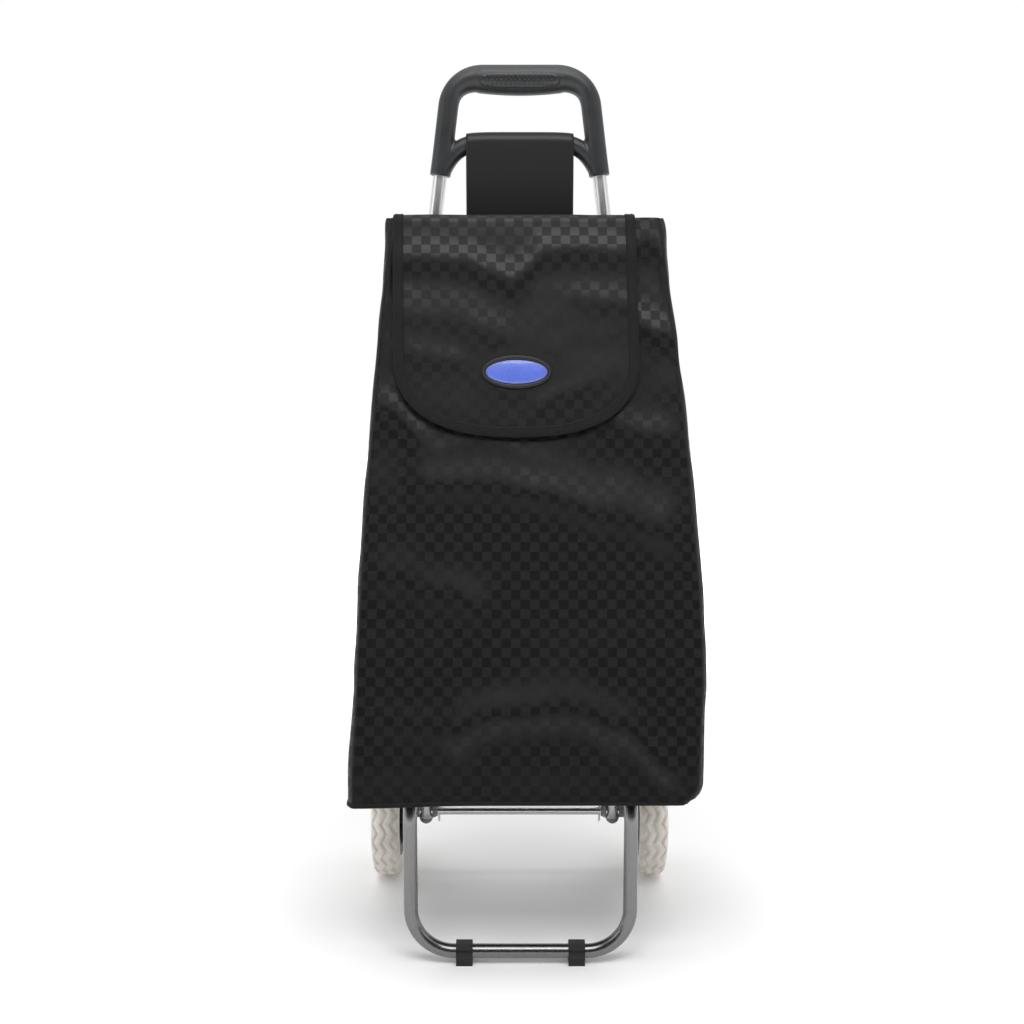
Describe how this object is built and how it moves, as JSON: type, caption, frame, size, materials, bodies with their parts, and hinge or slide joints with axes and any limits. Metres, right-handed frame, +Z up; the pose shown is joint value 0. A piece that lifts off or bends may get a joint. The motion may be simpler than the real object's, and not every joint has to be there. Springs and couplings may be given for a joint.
{
  "type": "shopping trolley",
  "caption": "Two-wheel shopping trolley: tapered fabric bag with a front flap, steel tube frame, D-shaped plastic handle and folding front stand.",
  "frame": {"origin": "on the floor, under the middle of the overall width and depth", "axes": "+Z up, the bag and flap face -Y, the wheels turn about X"},
  "size_m": [0.354, 0.336, 0.947],
  "materials": {
    "steel_tube": "satin bright steel",
    "bright_steel": "zinc plated, bright",
    "bracket_steel": "satin grey",
    "handle_plastic": "satin charcoal, fine grain",
    "grip_plastic": "matt with raised dots",
    "black_plastic": "satin black",
    "grey_plastic": "satin grey",
    "bag_fabric": "black jacquard checks with a soft sheen",
    "binding_fabric": "black woven tape, stitched",
    "board": "brown hardboard",
    "badge_black": "gloss black",
    "badge_blue": "gloss blue enamel, plain",
    "tyre_foam": "matt cream foam",
    "rim_plastic": "satin black"
  },
  "bodies": {
    "frame": {"frame_tube_left": "steel_tube", "frame_tube_right": "steel_tube", "tube_end_plugs": "grey_plastic", "upper_brace": "steel_tube", "lower_brace": "steel_tube", "brace_rivets": "bright_steel", "handle": "handle_plastic", "grip_pad": "grip_plastic", "handle_screws": "bright_steel", "axle": "bright_steel", "axle_bushes": "grey_plastic", "wheel_spacers": "grey_plastic", "split_pins": "bright_steel", "axle_washers": "bright_steel", "axle_push_nuts": "bright_steel", "pivot_bracket_left": "bracket_steel", "pivot_bracket_right": "bracket_steel", "bracket_rivets": "bright_steel", "pivot_bolts": "bright_steel", "pivot_nuts": "bright_steel", "bag_front_panel": "bag_fabric", "bag_back_panel": "bag_fabric", "bag_left_panel": "bag_fabric", "bag_right_panel": "bag_fabric", "bag_bottom_panel": "bag_fabric", "base_board": "board", "bag_mouth_hem": "binding_fabric", "bag_bottom_piping": "binding_fabric", "velcro_loop": "binding_fabric", "hanging_strap": "bag_fabric", "tie_straps": "binding_fabric"},
    "stand": {"stand_tube": "steel_tube", "foot_clip_left": "black_plastic", "foot_clip_right": "black_plastic"},
    "flap": {"flap_panel": "bag_fabric", "flap_binding": "binding_fabric", "velcro_hook": "binding_fabric", "badge_rim": "badge_black", "badge_face": "badge_blue"},
    "wheel_left": {"tyre_left": "tyre_foam", "rim_left": "rim_plastic", "hub_bush_left": "grey_plastic", "hub_cap_left": "grey_plastic"},
    "wheel_right": {"tyre_right": "tyre_foam", "rim_right": "rim_plastic", "hub_bush_right": "grey_plastic", "hub_cap_right": "grey_plastic"}
  },
  "joints": [
    {"name": "left_wheel_spin", "type": "hinge", "parent": "frame", "child": "wheel_left", "pos_m": [-0.1565, 0.093, 0.075], "axis": [1, 0, 0], "continuous": true},
    {"name": "right_wheel_spin", "type": "hinge", "parent": "frame", "child": "wheel_right", "pos_m": [0.1565, 0.093, 0.075], "axis": [1, 0, 0], "continuous": true},
    {"name": "stand_fold", "type": "hinge", "parent": "frame", "child": "stand", "pos_m": [0, 0.074, 0.186], "axis": [-1, 0, 0], "range_deg": [0, 90], "deforming": ["bag_front_panel", "bag_back_panel", "bag_left_panel", "bag_right_panel", "bag_bottom_panel", "base_board", "bag_mouth_hem", "bag_bottom_piping", "velcro_loop", "tie_straps"]},
    {"name": "flap_open", "type": "hinge", "parent": "frame", "child": "flap", "pos_m": [0, 0.0795, 0.7685], "axis": [-1, 0, 0], "range_deg": [0, 85]}
  ]
}
